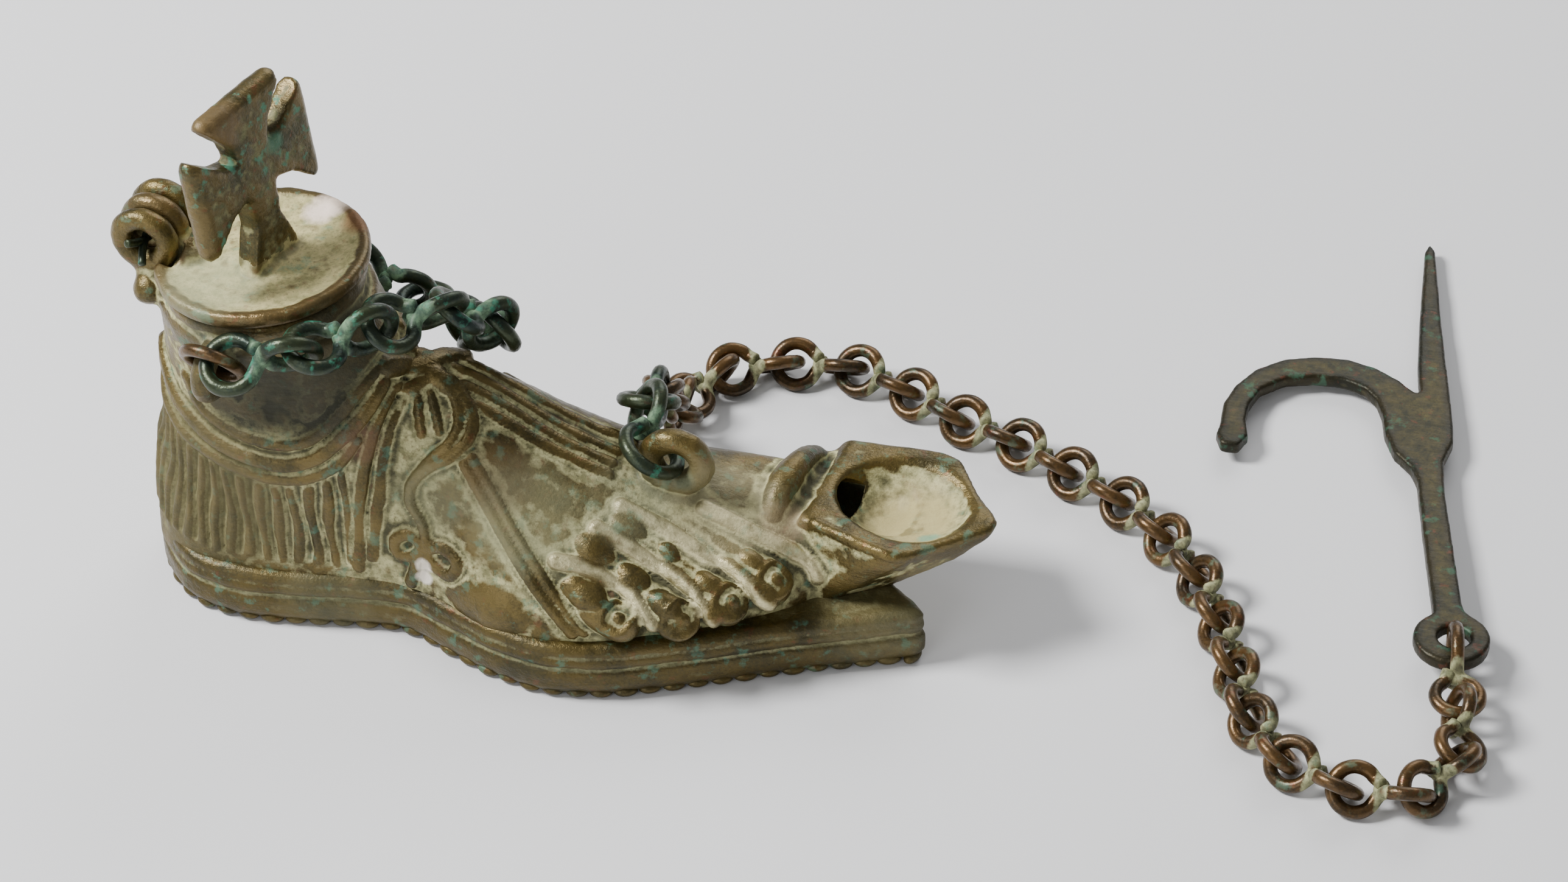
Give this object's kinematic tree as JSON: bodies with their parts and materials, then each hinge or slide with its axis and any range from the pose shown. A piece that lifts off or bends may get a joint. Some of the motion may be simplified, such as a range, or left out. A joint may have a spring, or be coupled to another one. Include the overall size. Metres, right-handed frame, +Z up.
{
  "type": "oil lamp",
  "caption": "Cast bronze hanging oil lamp shaped as a sandalled right foot, with a hinged lid topped by a cross, a wick nozzle at the toe, wire-link chains and a spiked hanging hook.",
  "frame": {"origin": "on the flat underside of the sole, under the middle of the sole's length", "axes": "+X from heel to toes, +Y towards the big-toe side, +Z up"},
  "size_m": [0.2611, 0.1718, 0.1097],
  "materials": {
    "foot": "olive-brown bronze with pale green and tan patina",
    "lid": "tan and green patinated bronze",
    "hinge_pin": "dark bronze wire",
    "hook": "dark olive bronze",
    "green_links": "dark green patinated bronze wire",
    "brown_links": "worn golden-brown bronze wire",
    "rings": "worn brown bronze wire"
  },
  "bodies": {
    "root": {"ankle_chain_link_01": "green_links", "ankle_chain_link_02": "green_links", "ankle_chain_link_03": "green_links", "ankle_chain_link_04": "green_links", "ankle_chain_link_05": "green_links", "ankle_chain_link_06": "green_links", "ankle_chain_link_07": "green_links", "far_lug_ring": "rings", "foot": "foot", "hinge_pin": "hinge_pin", "hook": "hook", "long_chain_link_01": "green_links", "long_chain_link_02": "green_links", "long_chain_link_03": "brown_links", "long_chain_link_04": "brown_links", "long_chain_link_05": "brown_links", "long_chain_link_06": "brown_links", "long_chain_link_07": "brown_links", "long_chain_link_08": "brown_links", "long_chain_link_09": "brown_links", "long_chain_link_10": "brown_links", "long_chain_link_11": "brown_links", "long_chain_link_12": "brown_links", "long_chain_link_13": "brown_links", "long_chain_link_14": "brown_links", "long_chain_link_15": "brown_links", "long_chain_link_16": "brown_links", "long_chain_link_17": "brown_links", "long_chain_link_18": "brown_links", "long_chain_link_19": "brown_links", "long_chain_link_20": "brown_links", "long_chain_link_21": "brown_links", "long_chain_link_22": "brown_links", "long_chain_link_23": "brown_links", "long_chain_link_24": "brown_links", "near_lug_ring": "rings", "nozzle": "foot", "sole": "foot"},
    "lid": {"lid": "lid"}
  },
  "joints": [
    {"name": "lid_hinge", "type": "hinge", "parent": "root", "child": "lid", "pos_m": [-0.07189, 0.00187, 0.07565], "axis": [-0.0872, -0.9962, 0], "range_deg": [0, 100]}
  ]
}
